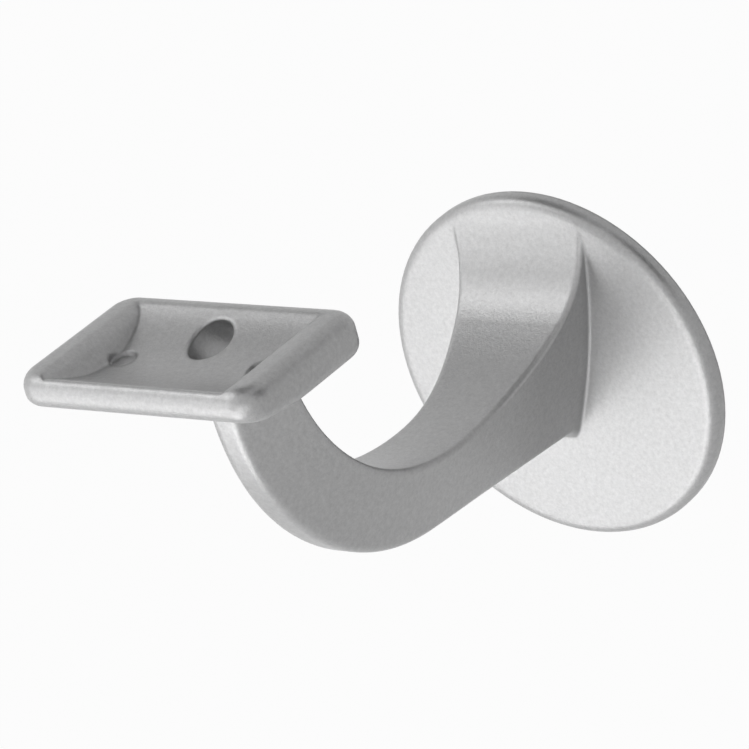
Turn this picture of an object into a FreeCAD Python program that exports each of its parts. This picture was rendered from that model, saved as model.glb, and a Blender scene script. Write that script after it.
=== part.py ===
import FreeCAD, Part
import math
import os

# Handrail bracket: one casting made of a round wall plate, a curved arm and a saddle for a round rail.
# Millimetres, +Z up. The wall is the plane y = 0, the origin is the middle of the plate's back,
# the bracket reaches out along -Y and the rail runs along X.

Vector = FreeCAD.Vector

# Wall plate
PLATE_DIAMETER = 60.0
PLATE_THICKNESS = 3.0
PLATE_EDGE_ROUNDING = 1.8
BACK_RIM_WIDTH = 4.0
BACK_RECESS_DEPTH = 1.0
BACK_BOSS_DIAMETER = 20.0

# Blind hole for the M8 stud that holds the plate to the wall (tapping drill size)
STUD_HOLE_DIAMETER = 6.8
STUD_HOLE_DEPTH = 14.0
DRILL_POINT_ANGLE = 118.0

# Where the saddle stands, and the rail that lies in it, a little in front of the saddle's middle
SADDLE_DISTANCE = 81.6
SADDLE_TOP_HEIGHT = 45.8
RAIL_DIAMETER = 42.4
RAIL_FORWARD_OFFSET = 1.2

# Saddle
SADDLE_LENGTH = 44.6
SADDLE_WIDTH = 27.8
SADDLE_THICKNESS = 6.6
SADDLE_FRONT_THICKNESS = 4.8
SADDLE_FLAT_UNDERSIDE = 14.0
SADDLE_CORNER_RADIUS = 4.4
SADDLE_TOP_ROUNDING = 2.6
SADDLE_BOTTOM_ROUNDING = 2.1

# Trough for the rail, closed by a wall at each end
TROUGH_DEPTH = 3.7
TROUGH_BOTTOM_LENGTH = 28.8
TROUGH_END_LEAN = 28.0
TROUGH_END_ROLL = 3.0
TROUGH_RIM_ROUNDING = 0.8
EJECTOR_MARK_DIAMETER = 4.2
EJECTOR_MARK_DEPTH = 0.35
EJECTOR_MARK_SPACING = 25.4

# Screw hole that slants up into the rail from the back of the arm
RAIL_HOLE_DIAMETER = 7.2
RAIL_HOLE_OFFSET = 6.6
RAIL_HOLE_ELEVATION = 45.0

# Arm from the side: the inner curve is three arcs, the outer one a straight and an arc.
# Its rising end is placed from the saddle, and its lowest inner point at a share of the saddle's distance.
ARM_BACK_OFFSET = 12.9
ARM_DEPTH = 9.75
INNER_LOW_SHARE = 0.4265
INNER_LOW_HEIGHT = 5.65
INNER_BOTTOM_RADIUS = 44.5
INNER_WALL_RADIUS = 17.0
INNER_RISE_RADIUS = 30.9
OUTER_RADIUS = 39.1
OUTER_RISE_HEIGHT = 32.4
OUTER_SLOPE_ANGLE = 5.3
ROOT_FLARE_RADIUS = 3.5

# Arm across: half widths at the inner face and at the nose
ROOT_HALF_WIDTH = 11.8
ROOT_NOSE_HALF_WIDTH = 2.4
ROOT_CHEEK_BULGE = 2.4
ARM_HALF_WIDTH = 7.0
NOSE_HALF_WIDTH = 2.4
INNER_EDGE_ROUNDING = 0.6
NOSE_ROUNDING = 1.5

# How the arm's width is lofted: where its sections stand and how fast the root widens towards the plate
ROOT_SECTION_SHARES = (1.0, 0.85, 0.7, 0.35, 0.0)
ROOT_FLARE_POWER = 2.0
RISE_SECTION_TURNS = (30.0, 60.0, 90.0)
ARM_END_COVER = 0.4

# Overlap of solids that are to be joined, how far the inner curve dips into the plate's face,
# and how close counts as touching
RUN_IN = 1.5
WALL_SINK = 0.05
TOUCH = 0.01

plate_radius = PLATE_DIAMETER / 2
plate_face = -PLATE_THICKNESS
flat_radius = plate_radius - PLATE_EDGE_ROUNDING
trough_radius = RAIL_DIAMETER / 2
saddle_y = -SADDLE_DISTANCE
rail_y = saddle_y - RAIL_FORWARD_OFFSET
saddle_back = saddle_y + SADDLE_WIDTH / 2
saddle_front = saddle_y - SADDLE_WIDTH / 2
saddle_underside = SADDLE_TOP_HEIGHT - SADDLE_THICKNESS
trough_floor = SADDLE_TOP_HEIGHT - TROUGH_DEPTH
rail_axis_height = trough_floor + trough_radius
inner_rise_y = saddle_y + ARM_BACK_OFFSET
outer_rise_y = inner_rise_y - ARM_DEPTH
inner_low_y = saddle_y * INNER_LOW_SHARE


def side(y, z):
    """A point of the side view, in the plane of symmetry."""
    return Vector(0, y, z)


def line(start, end):
    return Part.LineSegment(start, end).toShape()


def arc(centre, start, end):
    """The shorter arc about centre from start to end."""
    radius = (start - centre).Length
    middle = (start - centre) + (end - centre)
    middle.normalize()
    return Part.Arc(start, centre + middle * radius, end).toShape()


def extrude_across(edges, half_width):
    """A solid of the side view's outline, centred on the plane of symmetry."""
    face = Part.Face(Part.Wire(edges))
    face.translate(Vector(-half_width, 0, 0))
    return face.extrude(Vector(2 * half_width, 0, 0))


def ray_hit(start, direction, centre, radius):
    """Where a ray leaves a circle of the side view."""
    offset = start - centre
    along = offset.dot(direction)
    return start + direction * (math.sqrt(along ** 2 - offset.dot(offset) + radius ** 2) - along)


def higher_crossing(first, first_radius, second, second_radius):
    """The higher of the two points of the side view where two circles cross."""
    gap = second - first
    along = (gap.Length ** 2 + first_radius ** 2 - second_radius ** 2) / (2 * gap.Length)
    across = math.sqrt(first_radius ** 2 - along ** 2)
    gap.normalize()
    upward = side(abs(gap.z), abs(gap.y)) if gap.y > 0 else side(-abs(gap.z), abs(gap.y))
    return first + gap * along + upward * across


def wall_plate():
    edge_centre = Vector(flat_radius, plate_face + PLATE_EDGE_ROUNDING, 0)
    rim_inside = plate_radius - BACK_RIM_WIDTH
    boss_radius = BACK_BOSS_DIAMETER / 2
    corners = [
        Vector(plate_radius, 0, 0),
        Vector(rim_inside, 0, 0),
        Vector(rim_inside, -BACK_RECESS_DEPTH, 0),
        Vector(boss_radius, -BACK_RECESS_DEPTH, 0),
        Vector(boss_radius, 0, 0),
        Vector(0, 0, 0),
        Vector(0, plate_face, 0),
        Vector(flat_radius, plate_face, 0),
    ]
    edges = [line(a, b) for a, b in zip(corners, corners[1:])]
    edge_end = edge_centre + Vector(PLATE_EDGE_ROUNDING, 0, 0)
    edges.append(arc(edge_centre, corners[-1], edge_end))
    edges.append(line(edge_end, corners[0]))
    return Part.Face(Part.Wire(edges)).revolve(Vector(0, 0, 0), Vector(0, 1, 0), 360)


def inner_centres():
    """Centres of the three arcs of the inner curve: at the wall, at the bottom and at the rise."""
    bottom = side(inner_low_y, INNER_LOW_HEIGHT + INNER_BOTTOM_RADIUS)
    wall_y = plate_face + WALL_SINK - INNER_WALL_RADIUS
    rise_y = inner_rise_y + INNER_RISE_RADIUS
    wall_drop = math.sqrt((INNER_BOTTOM_RADIUS - INNER_WALL_RADIUS) ** 2 - (wall_y - bottom.y) ** 2)
    rise_drop = math.sqrt((INNER_BOTTOM_RADIUS - INNER_RISE_RADIUS) ** 2 - (rise_y - bottom.y) ** 2)
    return side(wall_y, bottom.z - wall_drop), bottom, side(rise_y, bottom.z - rise_drop)


def outer_curve():
    """Centre of the outer arc, its tangent point with the straight, and the straight's direction."""
    slope = math.radians(OUTER_SLOPE_ANGLE)
    centre = side(outer_rise_y + OUTER_RADIUS, OUTER_RISE_HEIGHT)
    tangent = centre + side(-math.sin(slope), -math.cos(slope)) * OUTER_RADIUS
    return centre, tangent, side(math.cos(slope), -math.sin(slope))


def straight_height(y):
    """Height of the arm's straight lower edge."""
    _, tangent, direction = outer_curve()
    return tangent.z + (y - tangent.y) * direction.z / direction.y


def arm_profile():
    """The arm's side view, carried a little into the plate and into the saddle."""
    wall, bottom, rise = inner_centres()
    outer, outer_tangent, direction = outer_curve()
    top = trough_floor - ARM_END_COVER
    wall_start = side(plate_face + WALL_SINK, wall.z)
    wall_end = bottom + (wall - bottom).normalize() * INNER_BOTTOM_RADIUS
    rise_start = bottom + (rise - bottom).normalize() * INNER_BOTTOM_RADIUS
    rise_end = side(inner_rise_y, rise.z)
    inner_top = side(inner_rise_y, top)
    outer_top = side(outer_rise_y, top)
    outer_end = side(outer_rise_y, OUTER_RISE_HEIGHT)
    normal = side(direction.z, -direction.y)
    flare_y = plate_face - ROOT_FLARE_RADIUS
    flare = side(flare_y, straight_height(flare_y) - ROOT_FLARE_RADIUS / direction.y)
    flare_start = flare - normal * ROOT_FLARE_RADIUS
    flare_end = side(plate_face, flare.z)
    inside = plate_face + RUN_IN
    return [
        arc(wall, wall_start, wall_end),
        arc(bottom, wall_end, rise_start),
        arc(rise, rise_start, rise_end),
        line(rise_end, inner_top),
        line(inner_top, outer_top),
        line(outer_top, outer_end),
        arc(outer, outer_end, outer_tangent),
        line(outer_tangent, flare_start),
        arc(flare, flare_start, flare_end),
        line(flare_end, side(inside, flare.z)),
        line(side(inside, flare.z), side(inside, wall.z)),
        line(side(inside, wall.z), wall_start),
    ]


def cheek_section(inner, outer, inner_half, nose_half, bulge, head):
    """A tapering section of the arm through inner and outer, drawn past inner by head and past outer."""
    depth = (outer - inner).Length
    down = (outer - inner) * (1 / depth)
    taper = (inner_half - nose_half) / depth
    start = inner - down * head
    end = outer + down * RUN_IN
    start_half = inner_half + taper * head
    end_half = nose_half - taper * RUN_IN
    belly_half = (start_half + end_half) / 2 + 2 * bulge
    middle = (start + end) * 0.5
    right = [start + Vector(start_half, 0, 0), middle + Vector(belly_half, 0, 0), end + Vector(end_half, 0, 0)]
    left = [end - Vector(end_half, 0, 0), middle - Vector(belly_half, 0, 0), start - Vector(start_half, 0, 0)]
    right_cheek = Part.BezierCurve()
    right_cheek.setPoles(right)
    left_cheek = Part.BezierCurve()
    left_cheek.setPoles(left)
    return Part.Wire([
        line(left[-1], right[0]),
        right_cheek.toShape(),
        line(right[-1], left[0]),
        left_cheek.toShape(),
    ])


def near_wall_section(share):
    """An upright section between the plate (share 1) and the arm's lowest inner point (share 0)."""
    wall, bottom, _ = inner_centres()
    y = inner_low_y * (1 - share)
    lower = side(y, straight_height(y))
    upper = side(y, wall.z)
    if y < plate_face:
        centre, radius = (wall, INNER_WALL_RADIUS) if y > wall.y else (bottom, INNER_BOTTOM_RADIUS)
        upper = ray_hit(side(y, centre.z), side(0, -1), centre, radius)
    flare = share ** ROOT_FLARE_POWER
    return cheek_section(
        upper, lower,
        ARM_HALF_WIDTH + (ROOT_HALF_WIDTH - ARM_HALF_WIDTH) * flare,
        NOSE_HALF_WIDTH + (ROOT_NOSE_HALF_WIDTH - NOSE_HALF_WIDTH) * flare,
        ROOT_CHEEK_BULGE * flare,
        RUN_IN + (wall.z - upper.z) * share)


def rising_section(turn, lift=0.0):
    """A section square to the rising part, turned in degrees from straight down, lifted if wanted."""
    _, bottom, rise = inner_centres()
    outer, _, _ = outer_curve()
    tangent_turn = math.degrees(math.atan2(bottom.y - rise.y, bottom.z - rise.z))
    direction = side(-math.sin(math.radians(turn)), -math.cos(math.radians(turn)))
    near = rise + direction * INNER_RISE_RADIUS
    if turn < tangent_turn:
        near = ray_hit(rise, direction, bottom, INNER_BOTTOM_RADIUS)
    far = ray_hit(rise, direction, outer, OUTER_RADIUS)
    up = side(0, lift)
    return cheek_section(near + up, far + up, ARM_HALF_WIDTH, NOSE_HALF_WIDTH, 0, RUN_IN)


def cheeks():
    """The arm's width: a loft of tapering sections from the plate round to the saddle."""
    sections = [near_wall_section(share) for share in ROOT_SECTION_SHARES]
    sections += [rising_section(turn) for turn in RISE_SECTION_TURNS]
    sections.append(rising_section(RISE_SECTION_TURNS[-1], SADDLE_TOP_HEIGHT - OUTER_RISE_HEIGHT))
    return Part.makeLoft(sections, True, False)


def long_edges(body, least_x, most_x):
    """The edges that run along the arm, clear of the plate, with their middle between two half widths."""
    chosen = []
    for edge in body.Edges:
        middle = edge.valueAt((edge.FirstParameter + edge.LastParameter) / 2)
        if least_x < abs(middle.x) < most_x and plate_face > middle.y and middle.z < saddle_underside:
            chosen.append(edge)
    return chosen


def plate_surround():
    """The ring of air round the plate's flat face, which the arm's root may not enter."""
    depth = PLATE_THICKNESS + RUN_IN
    ring = Part.makeCylinder(PLATE_DIAMETER, depth, Vector(0, -depth, 0), Vector(0, 1, 0))
    return ring.cut(Part.makeCylinder(flat_radius, depth, Vector(0, -depth, 0), Vector(0, 1, 0)))


def arm():
    body = extrude_across(arm_profile(), PLATE_DIAMETER / 2).common(cheeks())
    middle_half = (ARM_HALF_WIDTH + NOSE_HALF_WIDTH) / 2
    body = body.makeFillet(NOSE_ROUNDING, long_edges(body, TOUCH, middle_half))
    body = body.makeFillet(INNER_EDGE_ROUNDING, long_edges(body, middle_half, PLATE_DIAMETER))
    return body.cut(plate_surround())


def saddle():
    """The saddle block with its curved underside, before the trough."""
    flat_end = saddle_back - SADDLE_FLAT_UNDERSIDE
    run = flat_end - saddle_front
    rise = SADDLE_THICKNESS - SADDLE_FRONT_THICKNESS
    radius = (run ** 2 + rise ** 2) / (2 * rise)
    start = side(flat_end, saddle_underside)
    end = side(saddle_front, saddle_underside + rise)
    top_front = side(saddle_front, SADDLE_TOP_HEIGHT)
    top_back = side(saddle_back, SADDLE_TOP_HEIGHT)
    bottom_back = side(saddle_back, saddle_underside)
    block = extrude_across([
        line(bottom_back, start),
        arc(side(flat_end, saddle_underside + radius), start, end),
        line(end, top_front),
        line(top_front, top_back),
        line(top_back, bottom_back),
    ], SADDLE_LENGTH / 2)
    upright = [edge for edge in block.Edges if abs(edge.tangentAt(edge.FirstParameter).z) > 1 - TOUCH]
    block = block.makeFillet(SADDLE_CORNER_RADIUS, upright)
    bottom = [edge for edge in block.Edges if edge.BoundBox.ZMax < end.z + TOUCH and not is_inside_line(edge)]
    block = block.makeFillet(SADDLE_BOTTOM_ROUNDING, bottom)
    top = [edge for edge in block.Edges if edge.BoundBox.ZMin > SADDLE_TOP_HEIGHT - TOUCH]
    block = block.makeFillet(SADDLE_TOP_ROUNDING, top)
    block = block.cut(trough())
    for x in (-EJECTOR_MARK_SPACING / 2, EJECTOR_MARK_SPACING / 2):
        block = block.cut(ejector_mark(x))
    return block


def is_inside_line(edge):
    """Whether an edge is the line between the flat and the curved part of the saddle's underside."""
    box = edge.BoundBox
    return box.ZMax < saddle_underside + TOUCH and box.YLength < TOUCH and box.YMax < saddle_back - TOUCH


def prism(outline, depth):
    """A prism of a closed outline, run along depth and centred on the outline's plane."""
    face = Part.Face(Part.Wire(outline))
    face.translate(depth * -0.5)
    return face.extrude(depth)


def end_outline(direction):
    """Half of the trough's front view, from the middle of its floor over one end's wall and roll."""
    lean = math.radians(TROUGH_END_LEAN)
    foot = Vector(direction * TROUGH_BOTTOM_LENGTH / 2, rail_y, trough_floor)
    wall_height = TROUGH_DEPTH - TROUGH_END_ROLL * (1 - math.sin(lean))
    wall_end = foot + Vector(direction * wall_height * math.tan(lean), 0, wall_height)
    roll_centre = Vector(
        wall_end.x + direction * TROUGH_END_ROLL * math.cos(lean), rail_y, SADDLE_TOP_HEIGHT - TROUGH_END_ROLL)
    crest = roll_centre + Vector(0, 0, TROUGH_END_ROLL)
    above = Vector(crest.x, rail_y, rail_axis_height)
    return [
        line(side(rail_y, trough_floor), foot),
        line(foot, wall_end),
        arc(roll_centre, wall_end, crest),
        line(crest, above),
        line(above, side(rail_y, rail_axis_height)),
    ]


def rim_outline(direction):
    """Half of the trough's side view, from the middle of its floor over the front (-1) or back (1) rim."""
    axis = side(rail_y, rail_axis_height)
    edge_y = saddle_y + direction * (SADDLE_WIDTH / 2 - SADDLE_TOP_ROUNDING)
    edge_centre = side(edge_y, SADDLE_TOP_HEIGHT - SADDLE_TOP_ROUNDING)
    reach = trough_radius + TROUGH_RIM_ROUNDING
    rim_height = SADDLE_TOP_HEIGHT - TROUGH_RIM_ROUNDING
    flat_reach = math.sqrt(reach ** 2 - (rail_axis_height - rim_height) ** 2)
    rim_centre = side(rail_y + direction * flat_reach, rim_height)
    rim_end = rim_centre + side(0, TROUGH_RIM_ROUNDING)
    if flat_reach > abs(edge_y - rail_y):
        rim_centre = higher_crossing(axis, reach, edge_centre, SADDLE_TOP_ROUNDING - TROUGH_RIM_ROUNDING)
        rim_end = edge_centre + (rim_centre - edge_centre).normalize() * SADDLE_TOP_ROUNDING
    rim_start = axis + (rim_centre - axis).normalize() * trough_radius
    above = side(rim_end.y, rail_axis_height)
    return [
        arc(axis, side(rail_y, trough_floor), rim_start),
        arc(rim_centre, rim_start, rim_end),
        line(rim_end, above),
        line(above, axis),
    ]


def trough():
    """The rail's cylinder between two leaning end walls, rolling over into the saddle's top all round."""
    lengthwise = prism(end_outline(1) + end_outline(-1)[::-1], Vector(0, 2 * trough_radius, 0))
    crosswise = prism(rim_outline(1) + rim_outline(-1)[::-1], Vector(2 * SADDLE_LENGTH, 0, 0))
    return lengthwise.common(crosswise)


def ejector_mark(x):
    """A shallow round recess in the bottom of the trough."""
    bottom = Vector(x, saddle_y, trough_floor - EJECTOR_MARK_DEPTH)
    return Part.makeCylinder(EJECTOR_MARK_DIAMETER / 2, TROUGH_DEPTH, bottom)


def rail_hole():
    """The slanting screw hole, from the trough's surface down past the arm's back."""
    rise = math.sqrt(trough_radius ** 2 - RAIL_HOLE_OFFSET ** 2)
    mouth = side(rail_y + RAIL_HOLE_OFFSET, rail_axis_height - rise)
    elevation = math.radians(RAIL_HOLE_ELEVATION)
    upward = side(-math.cos(elevation), math.sin(elevation))
    reach = 2 * ARM_DEPTH / math.cos(elevation)
    return Part.makeCylinder(RAIL_HOLE_DIAMETER / 2, 2 * reach, mouth - upward * reach, upward)


def stud_hole():
    """The blind hole in the middle of the plate's back, with its drill point."""
    radius = STUD_HOLE_DIAMETER / 2
    point_depth = radius / math.tan(math.radians(DRILL_POINT_ANGLE / 2))
    corners = [
        Vector(0, 0, 0),
        Vector(radius, 0, 0),
        Vector(radius, -STUD_HOLE_DEPTH, 0),
        Vector(0, -STUD_HOLE_DEPTH - point_depth, 0),
    ]
    edges = [line(a, b) for a, b in zip(corners, corners[1:] + corners[:1])]
    return Part.Face(Part.Wire(edges)).revolve(Vector(0, 0, 0), Vector(0, 1, 0), 360)


bracket = wall_plate().fuse(arm()).fuse(saddle())
bracket = bracket.cut(stud_hole()).cut(rail_hole()).removeSplitter()

os.makedirs("parts", exist_ok=True)
bracket.exportStep("parts/handrail_bracket.step")
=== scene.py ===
import math

import bpy
from mathutils import Matrix, Vector


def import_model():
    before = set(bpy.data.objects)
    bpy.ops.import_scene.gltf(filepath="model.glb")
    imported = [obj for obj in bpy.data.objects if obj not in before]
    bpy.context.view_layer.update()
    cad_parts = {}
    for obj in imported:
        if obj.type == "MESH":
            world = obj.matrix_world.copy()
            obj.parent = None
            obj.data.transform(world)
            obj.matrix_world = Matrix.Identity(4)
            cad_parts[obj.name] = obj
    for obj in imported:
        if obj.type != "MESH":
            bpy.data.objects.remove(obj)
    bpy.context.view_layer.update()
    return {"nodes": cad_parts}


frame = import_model()
bracket = frame["nodes"]["handrail_bracket"]

# Camera: where it stands and which way its own axes point
CAMERA_PLACE = Vector((0.40989, -0.50741, 0.29109))
CAMERA_RIGHT = Vector((0.79241, 0.56024, -0.24124))
CAMERA_UP = Vector((-0.05873, 0.46373, 0.88403))
CAMERA_LENS = 216.29
CAMERA_SENSOR = 36.0
CAMERA_REACH = 20.0

# Room: a pale floor a handrail's height below the bracket, under a white sky
FLOOR_SIZE = 24.0
FLOOR_HEIGHT = -0.85
FLOOR_COLOR = (0.86, 0.86, 0.86, 1.0)
FLOOR_ROUGHNESS = 0.9
WHITE = (1.0, 1.0, 1.0, 1.0)
BACKDROP_STRENGTH = 1.0
BACKDROP_SHARE = 0.97
FILL_STRENGTH = 0.04

# Soft boxes round the middle of the bracket: azimuth and elevation in degrees, width, height, watts
LIGHT_CENTRE = Vector((0.0, -0.045, 0.01))
LIGHT_DISTANCE = 0.9
SOFT_BOXES = {
    "low_front": (-108.0, -33.0, 0.70, 0.45, 2.6),
    "front_left": (-135.0, -2.0, 0.50, 0.80, 1.65),
    "high_left": (-150.0, 47.0, 0.42, 0.42, 1.4),
    "front_right": (-76.0, -6.0, 0.40, 0.40, 1.0),
}

# Dark cards that give the metal its dark reflections: azimuth, elevation, width, height
DARK_CARDS = {
    "top_card": (170.0, 76.0, 0.70, 0.60),
    "right_card": (12.0, 45.0, 0.60, 0.50),
}
CARD_COLOR = (0.02, 0.02, 0.02, 1.0)
CARD_ROUGHNESS = 1.0
CARD_SPECULAR = 0.0

# The cast metal: mottled between two greys, with painted shade darkening its crevices and hollows, and a
# fine grain
METAL_COLOR = (0.70, 0.70, 0.70, 1.0)
METAL_COLOR_DARK = (0.42, 0.42, 0.425, 1.0)
# Painted shade: the grey mixed into creases and hollows where shade falls, and how far the occlusion looks
CREVICE_PAINTED_SHADE_COLOR = (0.40, 0.40, 0.405, 1.0)
PAINTED_SHADE_REACH = 0.0022
METAL_SHARE = 0.45
METAL_SPECULAR = 0.25
METAL_ROUGHNESS_RANGE = (0.31, 0.43)
MOTTLE = {"Scale": 1300.0, "Detail": 3.0, "Roughness": 0.8}
GRAIN = {"Scale": 2600.0, "Detail": 3.0, "Roughness": 0.7}
GRAIN_STRENGTH = 0.8
GRAIN_HEIGHT = 0.00006
EDGE_SOFTENING = 0.0010
EDGE_SAMPLES = 8


def node(tree, kind, x, y, **inputs):
    """A shader node at a place in the graph, with its unlinked inputs set by name."""
    made = tree.nodes.new(kind)
    made.location = (x, y)
    for name, value in inputs.items():
        made.inputs[name.replace("_", " ")].default_value = value
    return made


def link(tree, source, output, target, socket):
    tree.links.new(source.outputs[output], target.inputs[socket])


def cast_metal():
    """Satin cast metal: fine blasted grain, faint mottling, painted shade in its crevices, softened edges.
    """
    material = bpy.data.materials.new("satin_cast_metal")
    material.use_nodes = True
    tree = material.node_tree
    tree.nodes.clear()
    out = node(tree, "ShaderNodeOutputMaterial", 900, 0)
    shader = node(tree, "ShaderNodeBsdfPrincipled", 600, 0)
    shader.inputs["Metallic"].default_value = METAL_SHARE
    shader.inputs["Specular IOR Level"].default_value = METAL_SPECULAR
    place = node(tree, "ShaderNodeTexCoord", -900, 0)

    mottle = node(tree, "ShaderNodeTexNoise", -600, 300, **MOTTLE)
    link(tree, place, "Object", mottle, "Vector")
    color = node(tree, "ShaderNodeMix", -100, 300)
    color.data_type = "RGBA"
    color.inputs["A"].default_value = METAL_COLOR
    color.inputs["B"].default_value = METAL_COLOR_DARK
    link(tree, mottle, "Fac", color, "Factor")
    # Painted shade: ambient occlusion darkens the base colour towards the crevice grey in creases and
    # hollows, where shade falls
    crevice_occlusion = node(tree, "ShaderNodeAmbientOcclusion", -300, 550, Distance=PAINTED_SHADE_REACH)
    paint_crevice_shade = node(tree, "ShaderNodeMix", 200, 300)
    paint_crevice_shade.data_type = "RGBA"
    paint_crevice_shade.inputs["A"].default_value = CREVICE_PAINTED_SHADE_COLOR
    link(tree, crevice_occlusion, "AO", paint_crevice_shade, "Factor")
    link(tree, color, "Result", paint_crevice_shade, "B")
    link(tree, paint_crevice_shade, "Result", shader, "Base Color")

    grain = node(tree, "ShaderNodeTexNoise", -600, 0, **GRAIN)
    link(tree, place, "Object", grain, "Vector")
    rough = node(tree, "ShaderNodeMapRange", -100, 0)
    rough.inputs["To Min"].default_value, rough.inputs["To Max"].default_value = METAL_ROUGHNESS_RANGE
    link(tree, grain, "Fac", rough, "Value")
    link(tree, rough, "Result", shader, "Roughness")

    soft = node(tree, "ShaderNodeBevel", 0, -450, Radius=EDGE_SOFTENING)
    soft.samples = EDGE_SAMPLES
    bump = node(tree, "ShaderNodeBump", 300, -300, Strength=GRAIN_STRENGTH, Distance=GRAIN_HEIGHT)
    link(tree, grain, "Fac", bump, "Height")
    link(tree, soft, "Normal", bump, "Normal")
    link(tree, bump, "Normal", shader, "Normal")
    link(tree, shader, "BSDF", out, "Surface")
    return material


def backdrop_rays(tree):
    """One where a ray shows the background: seen by the camera, mirrored or through glass."""
    path = node(tree, "ShaderNodeLightPath", -900, 300)
    some = node(tree, "ShaderNodeMath", -600, 300)
    some.operation = "MAXIMUM"
    link(tree, path, "Is Camera Ray", some, 0)
    link(tree, path, "Is Glossy Ray", some, 1)
    every = node(tree, "ShaderNodeMath", -400, 300)
    every.operation = "MAXIMUM"
    link(tree, some, 0, every, 0)
    link(tree, path, "Is Transmission Ray", every, 1)
    return every


def floor():
    mesh = bpy.data.meshes.new("floor")
    half = FLOOR_SIZE / 2
    corners = [(x, y, FLOOR_HEIGHT) for x, y in ((-half, -half), (half, -half), (half, half), (-half, half))]
    mesh.from_pydata(corners, [], [(0, 1, 2, 3)])
    plane = bpy.data.objects.new("floor", mesh)
    bpy.context.scene.collection.objects.link(plane)
    material = bpy.data.materials.new("pale_floor")
    material.use_nodes = True
    tree = material.node_tree
    shader = tree.nodes["Principled BSDF"]
    shader.inputs["Base Color"].default_value = FLOOR_COLOR
    shader.inputs["Roughness"].default_value = FLOOR_ROUGHNESS
    glow = node(tree, "ShaderNodeEmission", 0, -200, Color=WHITE, Strength=BACKDROP_STRENGTH)
    share = node(tree, "ShaderNodeMath", -200, 300)
    share.operation = "MULTIPLY"
    share.inputs[1].default_value = BACKDROP_SHARE
    link(tree, backdrop_rays(tree), 0, share, 0)
    mix = node(tree, "ShaderNodeMixShader", 300, 0)
    link(tree, share, 0, mix, 0)
    link(tree, shader, 0, mix, 1)
    link(tree, glow, 0, mix, 2)
    link(tree, mix, 0, tree.nodes["Material Output"], 0)
    mesh.materials.append(material)


def camera():
    data = bpy.data.cameras.new("camera")
    data.lens = CAMERA_LENS
    data.sensor_width = CAMERA_SENSOR
    data.clip_end = CAMERA_REACH
    view = bpy.data.objects.new("camera", data)
    back = CAMERA_RIGHT.cross(CAMERA_UP)
    view.matrix_world = Matrix.Translation(CAMERA_PLACE) @ Matrix((
        (CAMERA_RIGHT.x, CAMERA_UP.x, back.x),
        (CAMERA_RIGHT.y, CAMERA_UP.y, back.y),
        (CAMERA_RIGHT.z, CAMERA_UP.z, back.z),
    )).to_4x4()
    bpy.context.scene.collection.objects.link(view)
    bpy.context.scene.camera = view


def stand(thing, azimuth, elevation):
    """Put a lamp or a card round the bracket and turn its face to the middle."""
    turn, rise = math.radians(azimuth), math.radians(elevation)
    outward = Vector((math.cos(rise) * math.cos(turn), math.cos(rise) * math.sin(turn), math.sin(rise)))
    thing.location = LIGHT_CENTRE + outward * LIGHT_DISTANCE
    thing.rotation_euler = (-outward).to_track_quat("-Z", "Y").to_euler()
    thing.visible_camera = False
    bpy.context.scene.collection.objects.link(thing)


def soft_box(name, azimuth, elevation, width, height, power):
    """A rectangular lamp that faces the middle of the bracket."""
    data = bpy.data.lights.new(name, "AREA")
    data.shape = "RECTANGLE"
    data.size = width
    data.size_y = height
    data.energy = power
    stand(bpy.data.objects.new(name, data), azimuth, elevation)


def dark_card(name, azimuth, elevation, width, height):
    """A dull black card beside the view, as a photographer sets against white all round."""
    mesh = bpy.data.meshes.new(name)
    corners = [(x * width / 2, y * height / 2, 0.0) for x, y in ((-1, -1), (1, -1), (1, 1), (-1, 1))]
    mesh.from_pydata(corners, [], [(0, 1, 2, 3)])
    card = bpy.data.objects.new(name, mesh)
    stand(card, azimuth, elevation)
    material = bpy.data.materials.new(name)
    material.use_nodes = True
    shader = material.node_tree.nodes["Principled BSDF"]
    shader.inputs["Base Color"].default_value = CARD_COLOR
    shader.inputs["Roughness"].default_value = CARD_ROUGHNESS
    shader.inputs["Specular IOR Level"].default_value = CARD_SPECULAR
    mesh.materials.append(material)


def world():
    room = bpy.data.worlds.new("room")
    room.use_nodes = True
    tree = room.node_tree
    tree.nodes.clear()
    out = node(tree, "ShaderNodeOutputWorld", 600, 0)
    fill = node(tree, "ShaderNodeBackground", 0, 0, Color=WHITE, Strength=FILL_STRENGTH)
    white = node(tree, "ShaderNodeBackground", 0, -200, Color=WHITE, Strength=BACKDROP_STRENGTH)
    pick = node(tree, "ShaderNodeMixShader", 300, 0)
    link(tree, backdrop_rays(tree), 0, pick, 0)
    link(tree, fill, 0, pick, 1)
    link(tree, white, 0, pick, 2)
    link(tree, pick, 0, out, "Surface")
    bpy.context.scene.world = room


bracket.data.materials.clear()
bracket.data.materials.append(cast_metal())
floor()
camera()
world()
for name, setting in SOFT_BOXES.items():
    soft_box(name, *setting)
for name, setting in DARK_CARDS.items():
    dark_card(name, *setting)
bpy.context.scene.view_settings.view_transform = "Standard"
